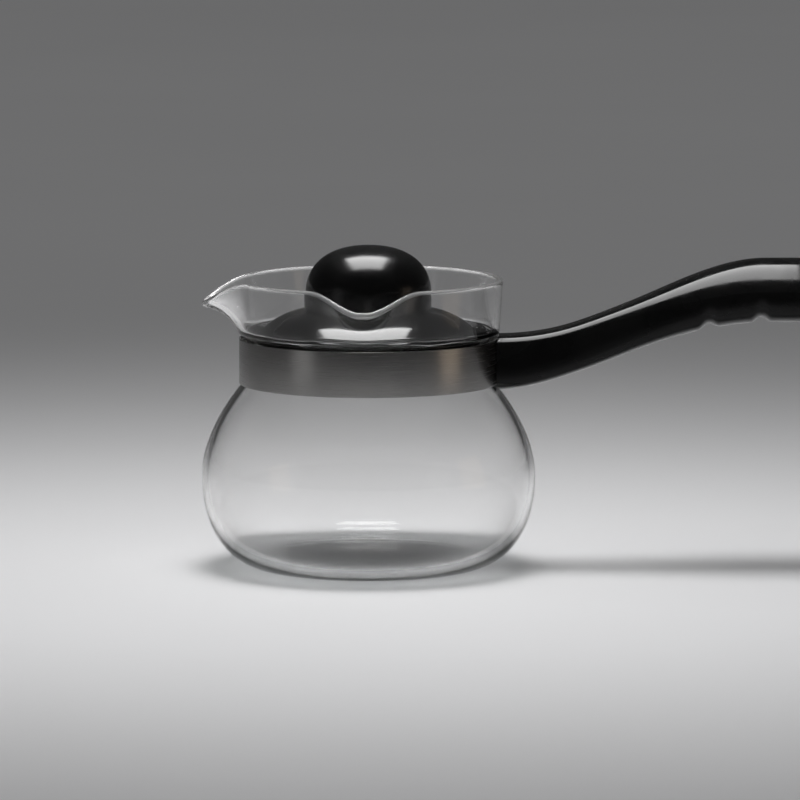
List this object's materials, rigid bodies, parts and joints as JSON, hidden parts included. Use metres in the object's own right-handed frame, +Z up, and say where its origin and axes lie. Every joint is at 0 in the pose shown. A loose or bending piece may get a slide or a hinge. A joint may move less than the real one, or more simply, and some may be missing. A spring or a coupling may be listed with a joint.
{
  "type": "glass coffee pot",
  "caption": "Bellied glass coffee pot with pouring lips, a steel neck band, a long curved black handle and a lift-off domed lid with a round knob.",
  "frame": {"origin": "middle of the flat foot, on the surface the pot stands on and on the vessel's axis", "axes": "+Z up along the vessel's axis, +X along the handle away from the vessel, -Y towards the front pouring lip"},
  "size_m": [0.252, 0.1242, 0.1204],
  "materials": {
    "clear_glass": "clear, fire-polished",
    "sleeve_rubber": "matte",
    "band_steel": "polished",
    "handle_phenolic": "semi-gloss moulded",
    "lid_plastic": "gloss moulded",
    "knob_plastic": "satin moulded",
    "screw_steel": "bright zinc",
    "insert_brass": "turned"
  },
  "bodies": {
    "pot": {"glass_body": "clear_glass", "band_sleeve": "sleeve_rubber", "neck_band": "band_steel", "handle": "handle_phenolic", "clamp_screw": "screw_steel", "clamp_washer": "screw_steel", "clamp_insert": "insert_brass"},
    "lid": {"lid_dome": "lid_plastic", "lid_knob": "knob_plastic", "knob_insert": "insert_brass", "knob_washer": "screw_steel", "knob_screw": "screw_steel"}
  },
  "joints": [
    {"name": "lid_lift", "type": "slide", "parent": "pot", "child": "lid", "axis": [0, 0, 1], "range_m": [0, 0.06]}
  ]
}
